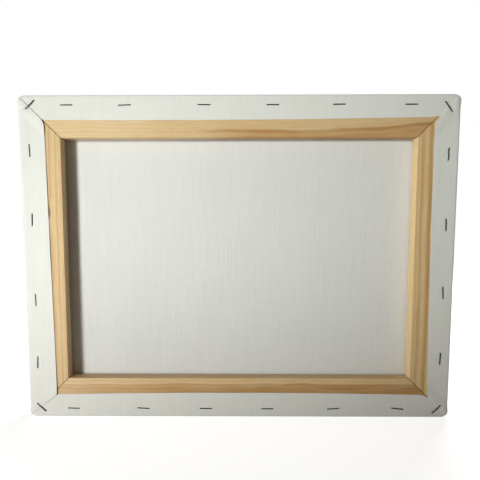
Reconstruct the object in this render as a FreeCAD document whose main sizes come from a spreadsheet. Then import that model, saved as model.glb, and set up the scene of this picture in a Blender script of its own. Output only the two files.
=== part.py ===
"""Stretched artist's canvas, 400 x 300 mm, on a pine stretcher frame, stapled on the back.

The canvas stands upright on its bottom edge. +X runs across it, +Z is up, the side to be
painted faces -Y and the stapled back faces +Y. The origin is under the middle of the object.
Left and right are those of a person who looks at the side to be painted.
"""

import FreeCAD, Part
import os

import Sketcher

# Name, size in millimetres, and what it is.
DRIVING_SIZES = [
    ("canvas_width", 400, "finished width, over the cloth"),
    ("canvas_height", 300, "finished height, over the cloth"),
    ("cloth_thickness", 0.6, "primed cotton cloth"),
    ("turnover_width", 23, "cloth turned over onto the back, from the outer edge to its cut edge"),
    ("corner_radius", 6, "outer corners, seen from the front"),
    ("fold_radius", 1.2, "cloth bent round the long edges of the frame"),
    ("bar_width", 37, "stretcher bar, outer edge to inner edge"),
    ("bar_thickness", 16, "stretcher bar at its raised outer lip"),
    ("inner_thickness", 13.5, "stretcher bar at its inner edge, where the front is planed away"),
    ("lip_width", 2.5, "raised lip that carries the cloth"),
    ("lip_height", 0.8, "raised lip above the planed front"),
    ("arris_radius", 0.7, "long edges of a bar, broken by sanding"),
    ("skin_depth", 4, "mitred back skin of a bar's end"),
    ("tongue_thickness", 4, "tongue and slot of the corner joint"),
    ("joint_clearance", 0.1, "between a tongue and the slot that it fills"),
    ("mitre_gap", 0.3, "along a bar, between its mitre and the corner's diagonal"),
    ("tongue_relief", 0.2, "a tongue's inner edge, planed back so that it slides in"),
    ("crown_length", 11.2, "staple, over its legs"),
    ("leg_length", 8, "staple leg, below its crown"),
    ("point_length", 1.2, "chisel point of a staple leg"),
    ("wire_width", 1.16, "staple wire, along the cloth"),
    ("wire_thickness", 0.53, "staple wire, off the cloth"),
    ("bend_radius", 0.4, "outside of a staple's bends"),
]

# Each bar: how far it is turned about the middle of the canvas, the canvas's size along it
# and across it, and whether its tongue is the one nearer to the back.
BARS = {
    "top_bar": (0, "sizes.canvas_width", "sizes.canvas_height", True),
    "right_bar": (90, "sizes.canvas_height", "sizes.canvas_width", False),
    "bottom_bar": (180, "sizes.canvas_width", "sizes.canvas_height", True),
    "left_bar": (270, "sizes.canvas_height", "sizes.canvas_width", False),
}

# Each row of staples, shot by hand: the place along its bar from the middle of the canvas,
# the inset from the outer edge, and the lean in degrees.
STAPLE_ROWS = {
    "top_staples": ("top_bar", [(-156, 9.0, 0), (-91, 8.8, 1), (-31, 9.0, 0),
                                (31, 8.8, -1), (103, 8.9, 2), (156, 8.7, 0)]),
    "right_staples": ("right_bar", [(-101, 9.1, 2), (-38, 9.0, -2), (37, 9.2, 1), (97, 8.8, -3)]),
    "bottom_staples": ("bottom_bar", [(-158, 8.0, -2), (-91, 8.2, -3), (-31, 8.0, 0),
                                      (28, 7.9, 0), (91, 8.1, 4), (152, 8.3, -6)]),
    "left_staples": ("left_bar", [(-93, 9.3, -2), (-30, 9.2, 4), (33, 9.0, 2), (97, 9.3, 5)]),
}

# The staple across each corner's fold: the turn that points it at its corner, which way that
# corner lies from the middle, its insets from the side and from the top or bottom, and its lean.
CORNER_STAPLES = [
    (45, 1, 1, 11.0, 8.5, -1),
    (135, 1, -1, 11.0, 9.0, 0),
    (225, -1, -1, 11.0, 8.2, 0),
    (315, -1, 1, 11.0, 11.3, -9),
]

WOOD_BACK = "(sizes.bar_thickness - sizes.wire_thickness) / 2"
CLOTH_BACK = f"({WOOD_BACK} + sizes.cloth_thickness)"
MIDDLE_HEIGHT = "sizes.canvas_height / 2"
WASTE = "1"  # how far a cut runs past the wood that it takes away
PITCH = FreeCAD.Vector(0, 1, 0)

doc = FreeCAD.newDocument("stretched_canvas")
sizes = doc.addObject("Spreadsheet::Sheet", "sizes")
for row, (alias, size, meaning) in enumerate(DRIVING_SIZES, start=1):
    sizes.set(f"A{row}", meaning)
    sizes.set(f"B{row}", str(size))
    sizes.setAlias(f"B{row}", alias)
doc.recompute()


def new_sketch(body, name, plane_role, offset="0"):
    """An empty sketch on one of the body's own planes, moved off it by a formula."""
    plane = next(item for item in body.Origin.OriginFeatures if item.Role == plane_role)
    sketch = body.newObject("Sketcher::SketchObject", name)
    sketch.AttachmentSupport = [(plane, "")]
    sketch.MapMode = "FlatFace"
    sketch.setExpression("AttachmentOffset.Base.z", offset)
    return sketch


def draw_outline(sketch, corners):
    """Add a closed loop of straight lines; each corner is a pair of formulas on the sheet."""
    first = sketch.GeometryCount
    places = [FreeCAD.Vector(*map(sketch.evalExpression, corner), 0) for corner in corners]
    for start, end in zip(places, places[1:] + places[:1]):
        sketch.addGeometry(Part.LineSegment(start, end), False)
    for index, (corner, place) in enumerate(zip(corners, places)):
        line = first + index
        line_after = first + (index + 1) % len(corners)
        sketch.addConstraint(Sketcher.Constraint("Coincident", line, 2, line_after, 1))
        for axis, formula, value in zip("XY", corner, place):
            number = sketch.addConstraint(
                Sketcher.Constraint(f"Distance{axis}", -1, 1, line, 1, value)
            )
            sketch.renameConstraint(number, f"corner{line}{axis}")
            sketch.setExpression(f"Constraints.corner{line}{axis}", formula)


def draw_rectangle(sketch, width, height):
    """Add a rectangle about the sketch's origin, its width and height given as formulas."""
    draw_outline(sketch, [
        (f"-({width}) / 2", f"-({height}) / 2"),
        (f"({width}) / 2", f"-({height}) / 2"),
        (f"({width}) / 2", f"({height}) / 2"),
        (f"-({width}) / 2", f"({height}) / 2"),
    ])


def pad(body, sketch, length, side="One side"):
    """Raise a sketch into solid material."""
    feature = body.newObject("PartDesign::Pad", f"{sketch.Name}_pad")
    feature.Profile = sketch
    feature.SideType = side
    feature.setExpression("Length", length)
    doc.recompute()
    return feature


def pocket(body, sketch, depth):
    """Cut a sketch away towards the painted side, and make sure that it did cut."""
    before = body.Shape.Volume
    feature = body.newObject("PartDesign::Pocket", f"{sketch.Name}_cut")
    feature.Profile = sketch
    feature.Reversed = True
    feature.setExpression("Length", depth)
    doc.recompute()
    if body.Shape.Volume >= before:
        raise RuntimeError(f"{feature.Name} cuts nothing")
    return feature


def fillet(body, name, radius, wanted):
    """Round the edges of the body's last feature that the test wanted picks out."""
    base = body.Tip
    edges = [
        f"Edge{number}" for number, edge in enumerate(base.Shape.Edges, start=1) if wanted(edge)
    ]
    feature = body.newObject("PartDesign::Fillet", name)
    feature.Base = (base, edges)
    feature.setExpression("Radius", radius)
    doc.recompute()
    return feature


def runs_along(edge, axis):
    """Whether a straight edge runs along the axis."""
    return isinstance(edge.Curve, Part.Line) and abs(edge.Curve.Direction.dot(axis)) > 0.999


def place(piece, turn, x="0", y="0", z="0"):
    """Turn a piece about the Y direction and bind the place of its origin to the sheet."""
    piece.Placement = FreeCAD.Placement(FreeCAD.Vector(), FreeCAD.Rotation(PITCH, turn))
    for axis, formula in zip("xyz", (x, y, z)):
        piece.setExpression(f"Placement.Base.{axis}", formula)


def make_bar(label, turn, along, across, tongue_at_back):
    """The bare wood of one stretcher bar, with mitred ends that interlock.

    It is drawn lying along X about the middle of the canvas, its outer edge up and its back
    at Y = 0. Both ends have four layers: two mitred skins, and between them a tongue that
    fills the corner and a slot for the other bar's tongue.
    """
    body = doc.addObject("PartDesign::Body", f"{label}_wood")
    end = f"({along} / 2 - sizes.cloth_thickness)"
    outer = f"({across} / 2 - sizes.cloth_thickness)"
    inner = f"({outer} - sizes.bar_width)"

    profile = new_sketch(body, f"{label}_profile", "YZ_Plane")
    draw_outline(profile, [
        ("0", outer),
        ("0", inner),
        ("-sizes.inner_thickness", inner),
        ("sizes.lip_height - sizes.bar_thickness", f"{outer} - sizes.lip_width - sizes.lip_height"),
        ("-sizes.bar_thickness", f"{outer} - sizes.lip_width"),
        ("-sizes.bar_thickness", outer),
    ])
    pad(body, profile, f"2 * {end}", "Symmetric")
    fillet(body, f"{label}_arrises", "sizes.arris_radius",
           lambda edge: runs_along(edge, FreeCAD.Vector(1, 0, 0)))

    half_play = "sizes.joint_clearance / 2"
    back_end = "sizes.skin_depth"
    front_start = "(sizes.skin_depth + 2 * sizes.tongue_thickness)"
    between = "(sizes.skin_depth + sizes.tongue_thickness)"
    if tongue_at_back:
        back_end = f"({back_end} + {half_play})"
        slot_start, slot_end = between, front_start
    else:
        slot_start, slot_end = back_end, between
        front_start = f"({front_start} - {half_play})"

    mitres = {"back_mitre": ("0", back_end),
              "front_mitre": (front_start, f"sizes.bar_thickness - {front_start}")}
    for name, (start, depth) in mitres.items():
        sketch = new_sketch(body, f"{label}_{name}", "XZ_Plane", start)
        for side in ("-1", "1"):
            draw_outline(sketch, [
                (f"{side} * ({end} - sizes.mitre_gap + {WASTE})", f"{outer} + {WASTE}"),
                (f"{side} * ({end} + 2 * {WASTE})", f"{outer} + {WASTE}"),
                (f"{side} * ({end} + 2 * {WASTE})", f"{inner} - {WASTE}"),
                (f"{side} * ({end} - sizes.mitre_gap - sizes.bar_width - {WASTE})",
                 f"{inner} - {WASTE}"),
            ])
        pocket(body, sketch, depth)

    slot = new_sketch(body, f"{label}_slot", "XZ_Plane", f"{slot_start} - {half_play}")
    for side in ("-1", "1"):
        shoulder = f"{side} * ({end} - sizes.bar_width - {half_play})"
        draw_outline(slot, [
            (shoulder, f"{outer} + {WASTE}"),
            (f"{side} * ({end} + {WASTE})", f"{outer} + {WASTE}"),
            (f"{side} * ({end} + {WASTE})", f"{inner} - {WASTE}"),
            (shoulder, f"{inner} - {WASTE}"),
        ])
    pocket(body, slot, f"{slot_end} - {slot_start} + sizes.joint_clearance")

    relief = new_sketch(body, f"{label}_relief", "XZ_Plane")
    for side in ("-1", "1"):
        draw_outline(relief, [
            (f"{side} * ({end} - sizes.bar_width)", f"{inner} - {WASTE}"),
            (f"{side} * ({end} + {WASTE})", f"{inner} - {WASTE}"),
            (f"{side} * ({end} + {WASTE})", f"{inner} + sizes.tongue_relief"),
            (f"{side} * ({end} - sizes.bar_width)", f"{inner} + sizes.tongue_relief"),
        ])
    pocket(body, relief, "sizes.bar_thickness")

    place(body, turn, y=WOOD_BACK, z=MIDDLE_HEIGHT)
    return body


def make_frame_block():
    """All the room that the frame and the air inside it take up, its corners rounded."""
    body = doc.addObject("PartDesign::Body", "frame_block")
    outline = new_sketch(body, "frame_block_outline", "XZ_Plane")
    draw_rectangle(outline, "sizes.canvas_width - 2 * sizes.cloth_thickness",
                   "sizes.canvas_height - 2 * sizes.cloth_thickness")
    pad(body, outline, "sizes.bar_thickness")
    fillet(body, "frame_block_corners", "sizes.corner_radius - sizes.cloth_thickness",
           lambda edge: runs_along(edge, PITCH))
    place(body, 0, y=WOOD_BACK, z=MIDDLE_HEIGHT)
    return body


def make_cloth():
    """One cloth round the whole frame, still solid inside, with its back open behind the frame."""
    body = doc.addObject("PartDesign::Body", "canvas_cloth")
    outside = new_sketch(body, "cloth_outside", "XZ_Plane", "-sizes.cloth_thickness")
    draw_rectangle(outside, "sizes.canvas_width", "sizes.canvas_height")
    pad(body, outside, "sizes.bar_thickness + 2 * sizes.cloth_thickness")
    fillet(body, "cloth_corners", "sizes.corner_radius", lambda edge: runs_along(edge, PITCH))
    fillet(body, "cloth_folds", "sizes.fold_radius", lambda edge: not runs_along(edge, PITCH))

    window = new_sketch(body, "cloth_window", "XZ_Plane", "-sizes.cloth_thickness")
    draw_rectangle(window, "sizes.canvas_width - 2 * sizes.turnover_width",
                   "sizes.canvas_height - 2 * sizes.turnover_width")
    pocket(body, window, "1.5 * sizes.cloth_thickness")
    place(body, 0, y=WOOD_BACK, z=MIDDLE_HEIGHT)
    return body


def make_staple():
    """The staple that the rows repeat: its crown along X on Y = 0 and its legs towards -Y."""
    body = doc.addObject("PartDesign::Body", "staple")
    half = "sizes.crown_length / 2"
    inside = f"({half} - sizes.wire_thickness)"
    shoulder = "sizes.point_length - sizes.leg_length"
    wire = new_sketch(body, "staple_wire", "XY_Plane")
    draw_outline(wire, [
        (f"-{half}", "sizes.wire_thickness"),
        (half, "sizes.wire_thickness"),
        (half, "-sizes.leg_length"),
        (inside, shoulder),
        (inside, "0"),
        (f"-{inside}", "0"),
        (f"-{inside}", shoulder),
        (f"-{half}", "-sizes.leg_length"),
    ])
    pad(body, wire, "sizes.wire_width", "Symmetric")
    fillet(body, "staple_bends", "sizes.bend_radius",
           lambda edge: runs_along(edge, FreeCAD.Vector(0, 0, 1)) and edge.Vertexes[0].Y > 0.001)
    return body


def shoot_staple(staple, name, turn, x, z):
    """One copy of the staple, driven through the back of the cloth into the wood."""
    copy = doc.addObject("App::Link", name)
    copy.LinkedObject = staple
    place(copy, turn, x, CLOTH_BACK, z)
    return copy


def group(label, members):
    """Pieces that share a node, as separate solids."""
    compound = doc.addObject("Part::Compound", label)
    compound.Links = members
    return compound


def cut(label, base, tool):
    """A piece with the tool's shape taken out of it."""
    result = doc.addObject("Part::Cut", label)
    result.Base = base
    result.Tool = tool
    return result


staple = make_staple()
sub_parts = []

for label, (bar, shots) in STAPLE_ROWS.items():
    turn, _, across, _ = BARS[bar]
    row = []
    for number, (along, inset, lean) in enumerate(shots, start=1):
        reach = f"({across} / 2 - {inset})"
        row.append(shoot_staple(
            staple, f"{label}_{number}", turn + lean,
            f"{along} * cos({turn} deg) + {reach} * sin({turn} deg)",
            f"{MIDDLE_HEIGHT} - {along} * sin({turn} deg) + {reach} * cos({turn} deg)",
        ))
    sub_parts.append(group(label, row))

corners = []
for turn, x_way, z_way, side_inset, end_inset, lean in CORNER_STAPLES:
    corners.append(shoot_staple(
        staple, f"corner_staple_{turn}", turn + lean,
        f"{x_way} * (sizes.canvas_width / 2 - {side_inset})",
        f"{MIDDLE_HEIGHT} + {z_way} * (sizes.canvas_height / 2 - {end_inset})",
    ))
sub_parts.append(group("corner_staples", corners))

all_staples = group("all_staples", list(sub_parts))
frame_block = make_frame_block()
for label, (turn, along, across, tongue_at_back) in BARS.items():
    wood = make_bar(label, turn, along, across, tongue_at_back)
    rounded = doc.addObject("Part::Common", f"{label}_rounded")
    rounded.Base = wood
    rounded.Tool = frame_block
    sub_parts.append(cut(label, rounded, all_staples))
wrap = cut("canvas_wrap", make_cloth(), frame_block)
sub_parts.append(cut("canvas", wrap, all_staples))

doc.recompute()
for item in doc.Objects:
    if {"Invalid", "Error"} & set(item.State):
        raise RuntimeError(f"{item.Name} failed: {item.State}")
os.makedirs("parts", exist_ok=True)
for part in sub_parts:
    if part.Shape.isNull() or not part.Shape.isValid():
        raise RuntimeError(f"{part.Label} has no valid shape")
for part in sub_parts:
    part.Shape.exportStep(f"parts/{part.Label}.step")
    print(part.Label, len(part.Shape.Solids), "solids,", round(part.Shape.Volume), "mm3")
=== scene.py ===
import math
import random

import bmesh
import bpy
from mathutils import Matrix, Vector, noise


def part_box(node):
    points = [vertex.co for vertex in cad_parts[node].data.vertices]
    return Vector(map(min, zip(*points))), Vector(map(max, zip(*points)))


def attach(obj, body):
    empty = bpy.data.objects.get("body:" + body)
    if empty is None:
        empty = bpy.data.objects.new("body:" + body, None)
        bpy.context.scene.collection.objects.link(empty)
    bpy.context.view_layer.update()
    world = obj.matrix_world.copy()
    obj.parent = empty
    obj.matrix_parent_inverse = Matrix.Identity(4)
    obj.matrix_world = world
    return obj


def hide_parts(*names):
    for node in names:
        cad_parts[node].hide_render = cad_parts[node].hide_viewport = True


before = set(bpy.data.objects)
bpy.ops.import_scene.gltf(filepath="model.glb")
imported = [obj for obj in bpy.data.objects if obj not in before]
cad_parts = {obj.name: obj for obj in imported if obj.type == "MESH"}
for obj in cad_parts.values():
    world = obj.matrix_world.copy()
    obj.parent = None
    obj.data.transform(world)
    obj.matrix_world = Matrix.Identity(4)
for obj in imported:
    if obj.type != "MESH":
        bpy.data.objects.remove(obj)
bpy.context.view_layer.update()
scene = bpy.context.scene

MM = 0.001
canvas_low, canvas_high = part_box("canvas")
middle = (canvas_low + canvas_high) / 2

# Camera. It looks at the stapled back from half a metre away, a little above the middle of the
# canvas and tipped down; the lens is shifted so that the upright canvas sits in the frame.
camera_data = bpy.data.cameras.new("camera")
camera_data.sensor_width = 36
camera_data.lens = 39.6
camera_data.shift_x = 0.0208
camera_data.shift_y = 0.0833
camera = bpy.data.objects.new("camera", camera_data)
camera.location = (2.4 * MM, canvas_high.y + 490.5 * MM, middle.z + 35 * MM)
camera.rotation_euler = (math.radians(90 - 6.16), math.radians(0.05), math.radians(180.61))
scene.collection.objects.link(camera)
scene.camera = camera


# Stretcher bars. Four lengths of pale pine, planed, sanded and left bare, whose mitred ends
# are pushed together as tongues and slots. Each bar was cut from another board, so each has
# its own grain: straight stripes up the sides, and broader, redder figure along the others.
wood_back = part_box("top_bar")[1].y
sapwood = (0.775, 0.585, 0.34, 1)
heartwood = (0.545, 0.31, 0.125, 1)
late_rings = (0.54, 0.31, 0.12, 1)
dark_streak = (0.44, 0.22, 0.07, 1)
fibre_lines = (0.46, 0.27, 0.11, 1)
pale_cloud = (0.82, 0.67, 0.45, 1)
resin_duct = (0.36, 0.19, 0.075, 1)
knot_wood = (0.30, 0.14, 0.05, 1)
# The mitre's colour is painted shade in the joint's gap, with some grime.
mitre_grime_and_shade = (0.13, 0.07, 0.03, 1)


class Socket:
    """One output in a material. Arithmetic on it adds the Math nodes that work it out."""

    def __init__(self, tree, output):
        self.tree = tree
        self.output = output

    def add(self, kind, settings, inputs, result=0):
        """Add any node: its type, its settings, and its inputs' values or links."""
        node = self.tree.nodes.new(kind)
        for name, value in settings.items():
            if name == "stops":
                ramp = node.color_ramp.elements
                while len(ramp) < len(value):
                    ramp.new(0.5)
                for stop, (place, shade) in zip(ramp, value):
                    stop.position = place
                    stop.color = (shade, shade, shade, 1)
            else:
                setattr(node, name, value)
        for place, value in inputs.items():
            if isinstance(value, Socket):
                self.tree.links.new(value.output, node.inputs[place])
            else:
                node.inputs[place].default_value = value
        return Socket(self.tree, node.outputs[result])

    def maths(self, operation, *values):
        """A Math node on this socket and other values."""
        settings = {"operation": operation}
        return self.add("ShaderNodeMath", settings, dict(enumerate((self, *values))))

    def __add__(self, other):
        return self.maths("ADD", other)

    def __mul__(self, other):
        return self.maths("MULTIPLY", other)

    def __sub__(self, other):
        return self.maths("SUBTRACT", other)

    def __truediv__(self, other):
        return self.maths("DIVIDE", other)

    def __rsub__(self, other):
        return (self * -1).maths("ADD", other)

    __radd__ = __add__
    __rmul__ = __mul__

    def step(self, low, high):
        """0 below low, 1 above high, and smooth between them."""
        settings = {"interpolation_type": "SMOOTHSTEP"}
        return self.add("ShaderNodeMapRange", settings, {0: self, 1: low, 2: high})

    def bell(self, centre, width):
        """1 at the centre, falling smoothly to 0 at a width away from it."""
        return 1 - (self - centre).maths("ABSOLUTE").step(0, width)

    def noise(self, x, y, z, detail=2):
        """Soft noise, about 0.5, on coordinates that are given as sockets or numbers."""
        place = self.add("ShaderNodeCombineXYZ", {}, {0: x, 1: y, 2: z})
        return self.add("ShaderNodeTexNoise", {}, {"Vector": place, "Scale": 1, "Detail": detail})

    def blend(self, first, second):
        """A colour between two others, with this socket as the factor."""
        return self.add("ShaderNodeMix", {"data_type": "RGBA"}, {0: self, 6: first, 7: second}, 2)


def new_finish(name, coordinates):
    """A new material, its shader, and the x, y and z of the coordinates in millimetres."""
    material = bpy.data.materials.new(name)
    material.use_nodes = True
    tree = material.node_tree
    place = Socket(tree, tree.nodes.new("ShaderNodeTexCoord").outputs[coordinates])
    parts = [place.add("ShaderNodeSeparateXYZ", {}, {0: place}, axis) for axis in range(3)]
    return material, tree.nodes["Principled BSDF"], [part / MM for part in parts]


def finish_surface(shader, colour, roughness, height, depth):
    """Wire a colour, a roughness and a bump of the given depth in metres to a shader."""
    tree = colour.tree
    tree.links.new(colour.output, shader.inputs["Base Color"])
    tree.links.new(roughness.output, shader.inputs["Roughness"])
    inputs = {"Strength": 1.0, "Distance": depth, "Height": height}
    bump = colour.add("ShaderNodeBump", {}, inputs)
    tree.links.new(bump.output, shader.inputs["Normal"])


def make_pine(name, wood, upright, centre, ring_gap, pith, heart, streaks, sweep, fade, pale, knot):
    """Bare pine with the grain along X or Z. Sizes are in millimetres.

    wood is the bar's own colour, centre its middle line, and pith the way from there to the
    tree's middle, across and deep. heart is the two edges and the strength of the redder
    heartwood, and each streak a place across the bar, a half width and a strength. Past the
    distance sweep[0] along the bar, the grain bends across it at the rate sweep[1]. Figure
    fades out from fade[0] to fade[1] along the bar, and from pale[0] to pale[1] the wood
    turns to sapwood. knot is a knot's place, along and across the bar, and its half width.
    """
    knot_stretch, heart_blur, planer_pitch, mitre_start = 4, 0.9, 1.7, 50
    material, shader, (x, y, z) = new_finish(name, "Object")
    along, across = (z - middle.z / MM, x - centre) if upright else (x, z - centre)
    past = (along * math.copysign(1, sweep[0]) - abs(sweep[0])).maths("MAXIMUM", 0)
    across = across - past * past * sweep[1]
    up, over = along - knot[0], across - knot[1]
    near = (up * up / knot_stretch ** 2 + over * over).maths("SQRT") / knot[2]
    across = across + (near * near / -4).maths("EXPONENT") * over * 0.8
    # The grain wanders slowly, and a little faster in the bars with broad figure.
    wander = (x.noise(along / 90, centre, 0, 1) - 0.5) * 3.2
    if not upright:
        wander = wander + (x.noise(along / 36, centre, 2, 1) - 0.5) * 3.6
    wobble = (x.noise(along / 18, across / 5, centre) - 0.5) * 0.9
    across = across + wander + wobble

    side, deep = across - pith[0], y - pith[1]
    rings = (side * side + deep * deep).maths("SQRT") / ring_gap
    rings = rings + (x.noise(rings * 0.6, centre, 1, 1) - 0.5) * 0.9
    turn = rings.maths("FRACT")
    late = turn.add("ShaderNodeValToRGB", {"stops": [
        (0, 0.25), (0.1, 0), (0.45, 0.08), (0.8, 0.75), (0.93, 1), (1, 0.3)]}, {0: turn})
    year = rings.maths("FLOOR") + centre
    late = late * (0.35 + 0.65 * year.add("ShaderNodeTexWhiteNoise", {
        "noise_dimensions": "1D"}, {"W": year}))

    # A streak keeps its line through the thickness, leaning as the rings do.
    leaning = across - (y - wood_back / MM) * pith[1] / pith[0]
    figure = 1 - along.step(fade[0], fade[1])
    dark = 0
    for place, half, strength in streaks:
        dark = dark + leaning.bell(place, half) * strength
    dark = (dark * figure * (0.75 + 0.5 * x.noise(along / 35, across / 3, 7))).maths("MINIMUM", 1)
    inside = leaning.step(heart[0] - heart_blur, heart[0] + heart_blur)
    outside = leaning.step(heart[1] - heart_blur, heart[1] + heart_blur)
    hearty = inside * (1 - outside) * heart[2] * figure

    fibre = x.noise(along / 26, across / 0.35, y / 0.35, 4)
    cloud = x.noise(along / 50, across / 7, y / 7, 2)
    ducts = x.noise(along / 4.5, across / 0.28, y / 0.28, 1).step(0.65, 0.74)

    colour = along.step(pale[0], pale[1]).blend(wood, sapwood)
    colour = hearty.blend(colour, heartwood)
    colour = (late * 0.42).blend(colour, late_rings)
    colour = (dark * 0.85).blend(colour, dark_streak)
    colour = (fibre.step(0.38, 0.68) * 0.2).blend(colour, fibre_lines)
    colour = (cloud.step(0.4, 0.75) * 0.2).blend(colour, pale_cloud)
    colour = (ducts * 0.45).blend(colour, resin_duct)
    colour = (1 - near.step(0.35, 1)).blend(colour, knot_wood)
    # Dirt and painted shade in the mitre's line, which runs from the outer corner at 45 degrees.
    from_mitre = x.maths("ABSOLUTE") - (z - middle.z / MM).maths("ABSOLUTE") - mitre_start
    grime_and_shade = 1 - from_mitre.maths("ABSOLUTE").step(0.2, 0.8)
    # The joint is darkened as shade in its gap would darken it: painted shade, with some grime.
    colour = (grime_and_shade * 0.6).blend(colour, mitre_grime_and_shade)
    planed = (along * (2 * math.pi / planer_pitch)).maths("SINE") * 0.04
    height = fibre * 0.6 + late * 0.4 + planed - ducts * 0.5
    finish_surface(shader, colour, 0.6 + fibre * 0.18 - late * 0.08, height, 0.09 * MM)
    shader.inputs["Specular IOR Level"].default_value = 0.35
    return material


no_knot = (400, 60, 1)  # past the bar's end
for node, wood, upright, ring_gap, pith, heart, streaks, sweep, fade, pale, knot in (
    ("top_bar", (0.72, 0.52, 0.285, 1), False, 3.1, (44, -21), (-40, -11.7, 0.9),
     ((-13.0, 2.7, 0.95), (-17.8, 1.2, 0.3), (-8.6, 1.4, 0.25), (-5, 1.8, 0.18)),
     (-60, 0.00047), (-10, 50), (70, 105), no_knot),
    ("bottom_bar", (0.76, 0.54, 0.29, 1), False, 3.7, (-46, 12), (-40, 12.6, 0.95),
     ((12.3, 1.6, 0.4), (8.2, 1.6, 0.4), (4.0, 11, 0.7)), (-150, 0.0004), (-120, 330),
     (60, 170), no_knot),
    ("right_bar", (0.765, 0.565, 0.315, 1), True, 2.3, (58, -12), (30, 40, 0),
     ((-13.2, 2.0, 0.42), (-7.4, 2.4, 0.5), (-16.4, 1.2, 0.35), (-10.1, 1.0, 0.2)),
     (200, 0), (300, 400), (300, 400), (45, -5.4, 1.9)),
    ("left_bar", (0.82, 0.60, 0.315, 1), True, 3.0, (-64, 9), (30, 40, 0),
     ((12.4, 2.9, 0.6), (5.0, 3.6, 0.9), (15.9, 1.2, 0.3), (9, 1.0, 0.2)),
     (60, 0.0002), (300, 400), (300, 400), no_knot),
):
    low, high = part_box(node)
    centre = ((low + high) / 2 / MM)[0 if upright else 2]
    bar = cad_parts[node]
    bar.data.materials.clear()
    bar.data.materials.append(make_pine(
        f"pine_{node}", wood, upright, centre, ring_gap, pith, heart, streaks, sweep, fade, pale, knot))


# Staples' places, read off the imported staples: the middle of each crown and its direction.
# The cloth is pinned down under them, and the wire is bent and shot there afterwards.
def find_staples(node):
    """The middle of each crown of a node's staples and the direction that it runs in."""
    crown_depth = 0.6 * MM
    mesh = bmesh.new()
    mesh.from_mesh(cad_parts[node].data)
    bmesh.ops.remove_doubles(mesh, verts=mesh.verts, dist=1e-6)
    found, reached = [], set()
    for start in mesh.verts:
        if start in reached:
            continue
        reached.add(start)
        piece = [start]
        for vertex in piece:
            for other in (link.other_vert(vertex) for link in vertex.link_edges):
                if other not in reached:
                    reached.add(other)
                    piece.append(other)
        top = max(vertex.co.y for vertex in piece)
        crown = [vertex.co.copy() for vertex in piece if vertex.co.y > top - crown_depth]
        centre = sum(crown, Vector()) / len(crown)
        far = max(crown, key=lambda place: (place - centre).length)
        side = [place - centre for place in crown if (place - centre).dot(far - centre) > 0]
        direction = sum(side, Vector())
        direction.y = 0
        # Told to the right or upwards, so that a staple is never turned end for end.
        if direction.x + direction.z / 2 < 0:
            direction.negate()
        found.append((Vector((centre.x, 0, centre.z)), direction.normalized()))
    mesh.free()
    return sorted(found, key=lambda staple: (round(staple[0].z, 3), staple[0].x))


staples = {
    node: find_staples(node)
    for node in ("top_staples", "right_staples", "bottom_staples", "left_staples", "corner_staples")
}

# Canvas. Plain-woven cotton, primed white on its face and raw on its reverse, is pulled round
# the bars and stapled to their backs. At each corner the spare cloth is tucked in, and the side
# flap's folded edge lies over the flap above or below it, out to the corner.
fold_radius, corner_radius, cloth_thickness = 1.2 * MM, 6 * MM, 0.4 * MM
flap_height, half_crown, pleat_width = 0.6 * MM, 5.6 * MM, 11 * MM
fold_angle, column_angle = 45, 7.5
front, back = canvas_low.y, wood_back + flap_height
half_width, half_height = canvas_high.x, canvas_high.z - middle.z
curve = corner_radius - fold_radius
round_x, round_z = half_width - corner_radius, half_height - corner_radius
lip_x, lip_z = round_x + curve * math.sqrt(0.5), round_z + curve * math.sqrt(0.5)

# Each flap's width at its middle, how much that changes along it, and how it bows, in mm. The
# key is the way from the middle to that side, in x and z.
FLAPS = {
    (1, 0): (24.8, -0.0125, 0),
    (-1, 0): (22.0, 0.011, -0.00006),
    (0, 1): (22.15, 0.005, -0.00004),
    (0, -1): (23.6, -0.0005, -0.00006),
}
# How far the side flap and the end flap are cut back at each corner, over what length, and
# how far the folded edge bows there, in mm.
CORNERS = {
    (1, 1): (1.8, 0.4, 5, 0.3),
    (-1, 1): (4.5, 0.5, 7, 1.0),
    (1, -1): (0.8, 0.7, 3, 0.2),
    (-1, -1): (0.3, 2.4, 5, -0.3),
}


def ease(value, low, high):
    """0 at low, 1 at high, and smooth between them."""
    part = min(max((value - low) / (high - low), 0), 1)
    return part * part * (3 - 2 * part)


def lay_out(start, step):
    """Places across the cloth, even between the corners' curves and closer round them."""
    count = round(2 * start / step)
    even = [start * (2 * k / count - 1) for k in range(1, count)]
    bend = [start + curve * math.tan(math.radians(column_angle * k)) for k in range(7)]
    return [-place for place in reversed(bend)] + even + bend


canvas_mesh = bmesh.new()
flat = {}
charts = {}


def add_point(x, y, z, flat_x, flat_z, beyond=0.0):
    """Add a point of the cloth. It lies at flat_x, flat_z on the face, or beyond its edge."""
    vertex = canvas_mesh.verts.new((x, y, z + middle.z))
    flat[vertex] = (flat_x, flat_z, beyond)
    return vertex


def add_face(corners, chart):
    """Add a face of the cloth, leaving out corners that meet."""
    corners = [c for k, c in enumerate(corners) if c is not corners[k - 1]]
    if len(corners) > 2:
        charts[canvas_mesh.faces.new(corners)] = chart


# The face: a grid whose corners are rounded. It sinks a little where no wood is near.
taut, slack = 4 * MM, 60 * MM
columns, rows = lay_out(round_x, 2.5 * MM), lay_out(round_z, 2.5 * MM)
face = {}
for i, x in enumerate(columns):
    for j, z in enumerate(rows):
        over_x, over_z = max(abs(x) - round_x, 0), max(abs(z) - round_z, 0)
        shrink = max(over_x, over_z) / math.hypot(over_x, over_z) if over_x and over_z else 1
        place_x = math.copysign(min(abs(x), round_x) + over_x * shrink, x)
        place_z = math.copysign(min(abs(z), round_z) + over_z * shrink, z)
        free = ease(half_width - abs(x), taut, slack) * ease(half_height - abs(z), taut, slack)
        dip = free * (0.25 + 0.3 * noise.noise(Vector((x, 0, z)) * 22)) * MM
        face[i, j] = add_point(place_x, front + dip, place_z, place_x, place_z)
for i in range(len(columns) - 1):
    for j in range(len(rows) - 1):
        add_face([face[i, j], face[i + 1, j], face[i + 1, j + 1], face[i, j + 1]], "face")

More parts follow.
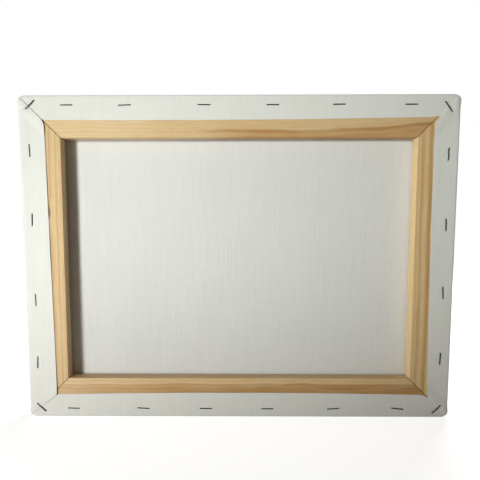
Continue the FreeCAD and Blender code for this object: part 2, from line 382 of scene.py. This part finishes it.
# Round the frame's edge. The ring is the face's outline: the right side upwards, the top from
# right to left, the left side downwards and the bottom from left to right.
last_i, last_j = len(columns) - 1, len(rows) - 1
ring = [((1, 0), (last_i, j)) for j in range(last_j + 1)]
ring += [((0, 1), (i, last_j)) for i in range(last_i - 1, 0, -1)]
ring += [((-1, 0), (0, j)) for j in range(last_j, -1, -1)]
ring += [((0, -1), (i, 0)) for i in range(1, last_i)]

# The section there: how far out, how far back, and how much cloth lies before that point.
bends = [math.radians(22.5 * k) for k in range(1, 5)]
quarter = fold_radius * bends[-1]
side_rows = 9
depth = back - front - 2 * fold_radius
profile = []
for turn in bends:
    out, deep = fold_radius * math.sin(turn), fold_radius * (1 - math.cos(turn))
    profile.append((out, front + deep, fold_radius * turn))
for k in range(1, side_rows + 1):
    down = depth * k / side_rows
    profile.append((fold_radius, front + fold_radius + down, quarter + down))
for turn in bends:
    out, deep = fold_radius * math.cos(turn), fold_radius * (1 - math.sin(turn))
    profile.append((out, back - deep, quarter + depth + fold_radius * turn))

pleat = 1.7 * cloth_thickness
bands = []
for k, (side, key) in enumerate(ring):
    start = face[key].co
    x, z = start.x, start.z - middle.z
    over_x, over_z = max(abs(x) - round_x, 0), max(abs(z) - round_z, 0)
    reach = math.hypot(over_x, over_z)
    out_x, out_z = math.copysign(over_x / reach, x), math.copysign(over_z / reach, z)
    # The angle round the corner, which is 45 degrees at the folded edge.
    turn = math.degrees(math.atan2(over_z, over_x))
    column = [face[key]]
    for out, y, beyond in profile:
        tuck = ease(y, front + 1 * MM, back)
        rise = slide = 0
        if side[0]:
            from_fold = max(round_z - abs(z), 0) + math.radians(fold_angle - turn) * corner_radius
            rise = pleat * tuck * (1 - ease(from_fold, 3 * MM, pleat_width))
            # The last columns before the folded edge and after it close up to a crease.
            if turn > fold_angle - 0.5:
                rise, slide = rise / 2, 0.15 * MM * tuck
            elif turn > fold_angle - column_angle - 0.5:
                slide = 0.4 * MM * tuck
        elif turn < fold_angle + column_angle + 0.5:
            slide = -0.75 * MM * tuck
        # A slide goes towards the top or bottom, along the ring.
        along_x, along_z = -abs(out_z) * math.copysign(1, x), abs(out_x) * math.copysign(1, z)
        column.append(add_point(
            x + out_x * (out + rise) + along_x * slide, y,
            z + out_z * (out + rise) + along_z * slide, x, z, beyond))
    bands.append(column)
for k, column in enumerate(bands):
    after = bands[(k + 1) % len(bands)]
    side = ring[k][0] if ring[k][0][0] else ring[(k + 1) % len(bands)][0]
    for r in range(len(profile)):
        add_face([after[r], column[r], column[r + 1], after[r + 1]], "side" if side[0] else "end")

# The flaps.
all_staples = [staple for node in staples.values() for staple in node]
corner_staples = staples["corner_staples"]


def from_crown(x, z, those):
    """How far a point is from the nearest staple's crown."""
    away = []
    for centre, direction in those:
        off = Vector((x - centre.x, 0, z + middle.z - centre.z))
        along = max(-half_crown, min(half_crown, off.dot(direction)))
        away.append((off - direction * along).length)
    return min(away)


def flap_level(x, z, along, inward):
    """How high a flap lies: pinned at the staples, rippled by their pull, and loose between."""
    near = from_crown(x, z, all_staples)
    press = -0.1 * MM * math.exp(-((near / (1.5 * MM)) ** 2))
    loose = ease(inward, 9 * MM, 22 * MM) * ease(near, 3 * MM, 18 * MM)
    wave = noise.noise(Vector((along * 28, inward * 20, 3.1)))
    lift = loose * (0.14 + 0.4 * wave) * MM
    ridge = noise.noise(Vector((along * 260, inward * 45, 7.7)))
    pull = 0.16 * MM * ridge * math.exp(-((near / (9 * MM)) ** 2)) * ease(inward, 0, 4 * MM)
    swell = 0.1 * MM * noise.noise(Vector((along * 60, inward * 60, 1.3)))
    return press + max(lift, 0) + pull + swell * ease(inward, 0, 3 * MM)


def corner_end(sign_x, sign_z):
    """Where a folded edge meets the flaps' cut edges, measured from the middle."""
    side_cut, end_cut = CORNERS[sign_x, sign_z][:2]
    side_base, side_slope, side_bow = FLAPS[sign_x, 0]
    end_base, end_slope, end_bow = FLAPS[0, sign_z]
    # The cut edges meet about 23 mm in from both outer edges.
    x, z = sign_x * 177, sign_z * 127
    side_width = side_base + side_slope * z + side_bow * z * z
    end_width = end_base + end_slope * x + end_bow * x * x
    return (
        sign_x * (half_width - (side_width - side_cut) * MM),
        sign_z * (half_height - (end_width - end_cut) * MM),
    )


flap_rows = 16
for side in FLAPS:
    base, slope, bow = FLAPS[side]
    members = [k for k, (own, key) in enumerate(ring) if own == side]
    flap = []
    for k in members:
        start = bands[k][-1]
        x, z = flat[start][:2]
        sign_x, sign_z = int(math.copysign(1, x)), int(math.copysign(1, z))
        end_x, end_z = corner_end(sign_x, sign_z)
        side_cut, end_cut, length, fold_bow = CORNERS[sign_x, sign_z]
        if side[0]:
            cut_z = z / lip_z * abs(end_z)
            back_off = side_cut * ease(abs(cut_z), abs(end_z) - length * MM, abs(end_z))
            run = cut_z / MM
            cut_x = side[0] * (half_width - (base + slope * run + bow * run * run - back_off) * MM)
        else:
            cut_x = x / lip_x * abs(end_x)
            back_off = end_cut * ease(abs(cut_x), abs(end_x) - length * MM, abs(end_x))
            run = cut_x / MM
            cut_z = side[1] * (half_height - (base + slope * run + bow * run * run - back_off) * MM)
        column = [start]
        for r in range(1, flap_rows + 1):
            part = r / flap_rows
            # The folded edge from the corner's curve to the cut edges, and the point on it here.
            fold_x = sign_x * lip_x + (end_x - sign_x * lip_x) * part
            fold_z = sign_z * lip_z + (end_z - sign_z * lip_z) * part
            fold_x -= sign_x * fold_bow * MM * math.sin(math.pi * part)
            at_x, at_z = x + (cut_x - x) * part, z + (cut_z - z) * part
            if abs(x) > round_x and abs(z) > round_z:
                at_x -= sign_x * fold_bow * MM * math.sin(math.pi * part)
            inward = (half_width - abs(at_x)) if side[0] else (half_height - abs(at_z))
            along = at_z if side[0] else at_x
            slant = Vector((end_x - sign_x * lip_x, end_z - sign_z * lip_z)).normalized()
            off = Vector((at_x - sign_x * lip_x, at_z - sign_z * lip_z))
            from_fold = abs(off.x * slant.y - off.y * slant.x)
            near = from_crown(at_x, at_z, corner_staples)
            rise = 0
            if side[0]:
                rise = pleat * (1 - ease(from_fold, 3.5 * MM, pleat_width))
                rise *= 1 - 0.4 * math.exp(-((near / (3 * MM)) ** 2))
                if k in (members[0], members[-1]):
                    rise /= 2
            level = back + flap_level(at_x, at_z, along, inward) + rise
            beyond = flat[start][2] + part * math.hypot(cut_x - x, cut_z - z) * 0.98
            flat_x, flat_z = (x, at_z) if side[0] else (at_x, z)
            column.append(add_point(at_x, level, at_z, flat_x, flat_z, beyond))
        flap.append(column)
    # Cloth under the fold: the side flap's own edge turned back, or the end flap running on.
    chart, widths = ("side", (0.5, 2.8, 5.5)) if side[0] else ("end", (2.2, 4.6))
    for first in (True, False):
        edge = flap[0] if first else flap[-1]
        next_band = bands[members[0] - 1 if first else (members[-1] + 1) % len(bands)]
        hidden_start = next_band[-1] if side[0] else edge[0]
        under = []
        for width in widths:
            column = [hidden_start]
            for vertex in edge[1:]:
                x, y, z = vertex.co.x, vertex.co.y, vertex.co.z - middle.z
                sign_x = math.copysign(1, x)
                # Near the outer edge there is room for only part of the width.
                room = min(1, 0.8 * (half_width - fold_radius - abs(x)) / (5.5 * MM))
                level = back + (0.06 * MM if side[0] else 0)
                flat_x, flat_z, beyond = flat[vertex]
                w = width * MM * room
                column.append(add_point(
                    x + sign_x * w, level, z,
                    flat_x if side[0] else flat_x + sign_x * w,
                    flat_z + math.copysign(w, z) if side[0] else flat_z, beyond))
            under.append(column)
        flap = list(reversed(under)) + flap if first else flap + under
    for column, after in zip(flap, flap[1:]):
        for r in range(flap_rows):
            add_face([after[r], column[r], column[r + 1], after[r + 1]], chart)

# The cloth's own map: where each part lies on the flat cloth, in metres.
uv_layer = canvas_mesh.loops.layers.uv.new("flat_cloth")
for polygon, chart in charts.items():
    for loop in polygon.loops:
        x, z, beyond = flat[loop.vert]
        if chart == "side":
            x += math.copysign(beyond, x)
        elif chart == "end":
            z += math.copysign(beyond, z)
        loop[uv_layer].uv = (x, z)
    polygon.smooth = True
canvas_data = bpy.data.meshes.new("canvas_cloth")
canvas_mesh.to_mesh(canvas_data)
canvas_mesh.free()
canvas = bpy.data.objects.new("canvas_cloth", canvas_data)
scene.collection.objects.link(canvas)

thread_pitch, yellowed = 0.65, (0.80, 0.78, 0.72, 1)


def make_cotton(name, colour, relief):
    """Plain-woven cotton of uneven thread, with a weave of the given relief in millimetres and painted
    shade between its threads.
    """
    material, shader, (u, v, _) = new_finish(name, "UV")
    half_turn = math.pi / thread_pitch
    over = (u * half_turn).maths("COSINE") * (v * half_turn).maths("COSINE") * 0.5 + 0.5
    warp = (u * (2 * half_turn)).maths("COSINE") * 0.5 + 0.5
    weft = (v * (2 * half_turn)).maths("COSINE") * 0.5 + 0.5
    weave = over * warp + (1 - over) * weft
    slub_up = u.noise(u / 0.8, v / 45, 0.3, 2)
    slub_over = u.noise(u / 45, v / 0.8, 5.3, 2)
    cloud = u.noise(u / 30, v / 30, 9.1, 3)
    thick = slub_up.step(0.35, 0.75) * 0.75 + slub_over.step(0.35, 0.75) * 0.25
    thick_thread, gap_shade = (tuple(part * dim for part in colour[:3]) + (1,) for dim in (0.86, 0.72))
    shade = (thick * 0.45).blend(colour, thick_thread)
    # Darker where the weave is low, between the threads: painted shade in the weave's hollows.
    shade = ((1 - weave) * 0.16).blend(shade, gap_shade)
    shade = (cloud.step(0.3, 0.7) * 0.12).blend(shade, yellowed)
    finish_surface(shader, shade, 0.62 + weave * 0.2, weave + thick * 0.6, relief * MM)
    return material


canvas.data.materials.append(make_cotton("primed_cotton", (0.83, 0.835, 0.81, 1), 0.07))
canvas.data.materials.append(make_cotton("raw_cotton", (0.80, 0.805, 0.815, 1), 0.12))
bpy.ops.object.select_all(action="DESELECT")
canvas.select_set(True)
bpy.context.view_layer.objects.active = canvas
solid = canvas.modifiers.new("thickness", "SOLIDIFY")
solid.thickness = cloth_thickness
solid.offset = -1
solid.material_offset = 1
solid.material_offset_rim = 1
bpy.ops.object.modifier_apply(modifier="thickness")
bpy.ops.object.shade_smooth_by_angle(angle=math.radians(50))
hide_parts("canvas")
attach(canvas, "root")


# Staples. Each is flat galvanised wire, bent down at both ends, with its legs cut to a point.
# They are shot through the flaps into the bars, every one a little askew, and are dull and dark.
wire_width, wire_thickness, bend_radius = 1.02 * MM, 0.53 * MM, 0.7 * MM
crown_length, leg_length, point_length = 11.5 * MM, 8 * MM, 1.2 * MM
point_pinch, bite, fold_lift = 0.35, 0.04 * MM, 0.55 * MM
kink, kink_start, kink_above = 0.85 * MM, 0.55, 90 * MM
bpy.ops.object.select_all(action="DESELECT")
bpy.ops.mesh.primitive_cube_add(size=1, location=(crown_length / 8, -wire_thickness / 2, 0))
staple = bpy.context.object
staple.scale = (crown_length / 4, wire_thickness, wire_width)
bpy.ops.object.transform_apply(location=True, rotation=False, scale=True)


def pick_end(mesh_object, normal):
    """In edit mode, select only the face that looks along a normal and lies furthest that way."""
    shape = bmesh.from_edit_mesh(mesh_object.data)
    for polygon in shape.faces:
        polygon.select_set(False)
    facing = [f for f in shape.faces if f.normal.dot(normal) > 0.9]
    max(facing, key=lambda f: f.calc_center_median().dot(normal)).select_set(True)
    bmesh.update_edit_mesh(mesh_object.data)


bpy.ops.object.mode_set(mode="EDIT")
bpy.ops.mesh.select_mode(type="FACE")
pick_end(staple, Vector((1, 0, 0)))
straight = crown_length / 4 - bend_radius
bpy.ops.mesh.extrude_region_move(TRANSFORM_OT_translate={"value": (straight, 0, 0)})
bpy.ops.mesh.spin(
    steps=5, angle=math.radians(90), axis=(0, 0, 1),
    center=(crown_length / 2 - bend_radius, -bend_radius, 0),
)
pick_end(staple, Vector((0, -1, 0)))
bpy.ops.mesh.extrude_region_move(TRANSFORM_OT_translate={
    "value": (0, -(leg_length - bend_radius - point_length), 0)})
bpy.ops.mesh.extrude_region_move(TRANSFORM_OT_translate={"value": (0, -point_length, 0)})
bpy.ops.transform.resize(value=(1, 1, point_pinch))
pick_end(staple, Vector((-1, 0, 0)))
bpy.ops.mesh.delete(type="FACE")
bpy.ops.object.mode_set(mode="OBJECT")
mirror = staple.modifiers.new("other_half", "MIRROR")
mirror.merge_threshold = 0.01 * MM
bpy.ops.object.modifier_apply(modifier="other_half")
bevel = staple.modifiers.new("rolled_edges", "BEVEL")
bevel.width, bevel.segments, bevel.limit_method = 0.16 * MM, 2, "ANGLE"
bpy.ops.object.modifier_apply(modifier="rolled_edges")
bpy.ops.object.shade_smooth_by_angle(angle=math.radians(40))

staple_wire, wire_shader, (x, y, z) = new_finish("staple_wire", "Object")
spots = x.noise(x / 0.8, y / 0.8, z / 0.8, 4)
scratches = x.noise((x + z) / 0.15, (x - z) / 2.5, y / 0.4, 2)
dull = spots.step(0.35, 0.7)
zinc, tarnish, bright_metal = (0.085, 0.085, 0.08, 1), (0.04, 0.037, 0.034, 1), (0.26, 0.25, 0.24, 1)
wire_colour = dull.blend(zinc, tarnish)
wire_colour = (scratches.step(0.58, 0.72) * 0.3).blend(wire_colour, bright_metal)
finish_surface(wire_shader, wire_colour, 0.38 + dull * 0.25, spots + scratches * 0.5, 0.02 * MM)
wire_shader.inputs["Metallic"].default_value = 0.75
staple.data.materials.append(staple_wire)

random.seed(11)
bpy.context.view_layer.objects.active = staple
for node, those in staples.items():
    copies = []
    for centre, direction in those:
        copy = staple.copy()
        copy.data = staple.data.copy()
        scene.collection.objects.link(copy)
        near_corner = node == "corner_staples"
        level = back + wire_thickness - bite + (fold_lift if near_corner else 0)
        turn = math.atan2(-direction.z, direction.x)
        tip, roll = random.uniform(-1.2, 1.2), random.uniform(-6, 6)
        if near_corner:
            tip = 0
        if node == "left_staples" and centre.z > middle.z + kink_above:
            # This one hit the wood askew: its crown is kinked at both ends.
            for vertex in copy.data.vertices:
                part = vertex.co.x / (crown_length / 2)
                bent = max(abs(part) - kink_start, 0) / (1 - kink_start)
                vertex.co.z += kink * math.copysign(bent, part)
        place = Matrix.Translation((centre.x, level, centre.z)) @ Matrix.Rotation(turn, 4, "Y")
        lean = Matrix.Rotation(math.radians(tip), 4, "Z") @ Matrix.Rotation(math.radians(roll), 4, "X")
        copy.data.transform(place @ lean)
        copies.append(copy)
    bpy.ops.object.select_all(action="DESELECT")
    for copy in copies:
        copy.select_set(True)
    bpy.context.view_layer.objects.active = copies[0]
    bpy.ops.object.join()
    row = bpy.context.object
    row.name = node.replace("staples", "staple_wires")
    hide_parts(node)
    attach(row, "root")
bpy.data.objects.remove(staple)


# Studio. A plain pale floor and a white background; a soft key light from the left as the back
# is seen, a weak light low on the same side, and a broad light on the painted face.
floor_paper, floor_shader, (x, y, _) = new_finish("floor_paper", "Object")
floor_shader.inputs["Base Color"].default_value = (0.5, 0.5, 0.5, 1)
floor_shader.inputs["Roughness"].default_value = 0.9
tree = floor_paper.node_tree
# The floor glows for the camera alone, dimmer near the canvas and white further off: painted light.
seen = Socket(tree, tree.nodes.new("ShaderNodeLightPath").outputs["Is Camera Ray"])
tree.links.new(seen.output, floor_shader.inputs["Emission Strength"])
away = (x * x + y * y).maths("SQRT").step(200, 900)
glow = away.blend((0.8, 0.8, 0.8, 1), (1, 1, 1, 1))
tree.links.new(glow.output, floor_shader.inputs["Emission Color"])
bpy.ops.object.select_all(action="DESELECT")
bpy.ops.mesh.primitive_plane_add(size=12)
floor = bpy.context.object
floor.name = "floor"
floor.data.materials.append(floor_paper)


def add_light(kind, name, place, target, power, colour, **settings):
    """Add a light at a place, aimed at a target."""
    light_data = bpy.data.lights.new(name, kind)
    light_data.energy, light_data.color = power, colour
    for setting, value in settings.items():
        setattr(light_data, setting, value)
    light = bpy.data.objects.new(name, light_data)
    light.location = place
    light.rotation_euler = (Vector(target) - Vector(place)).to_track_quat("-Z", "Y").to_euler()
    scene.collection.objects.link(light)


add_light("SPOT", "key_light", (1.05, 1.33, 0.38), (-0.015, 0, 0.285), 92, (0.95, 1, 0.935),
          shadow_soft_size=0.12, spot_size=math.radians(24), spot_blend=1)
add_light("AREA", "low_light", (0.36, 0.31, 0.05), (0.14, 0, 0.035), 0.92, (1, 1, 0.96),
          shape="DISK", size=0.1)
add_light("AREA", "front_light", (-0.6, -1.3, 0.9), (0, 0, 0.15), 21, (1, 0.98, 0.95),
          shape="DISK", size=0.8)

world = bpy.data.worlds.new("studio")
world.use_nodes = True
tree = world.node_tree
lighting = tree.nodes["Background"]
lighting.inputs["Color"].default_value = (0.098, 0.077, 0.058, 1)
backdrop = tree.nodes.new("ShaderNodeBackground")
backdrop.inputs["Color"].default_value = (1, 1, 1, 1)
seen = Socket(tree, tree.nodes.new("ShaderNodeLightPath").outputs["Is Camera Ray"])
mixed = seen.add("ShaderNodeMixShader", {}, {0: seen})
tree.links.new(lighting.outputs[0], mixed.output.node.inputs[1])
tree.links.new(backdrop.outputs[0], mixed.output.node.inputs[2])
tree.links.new(mixed.output, tree.nodes["World Output"].inputs["Surface"])
scene.world = world
scene.view_settings.view_transform = "Standard"
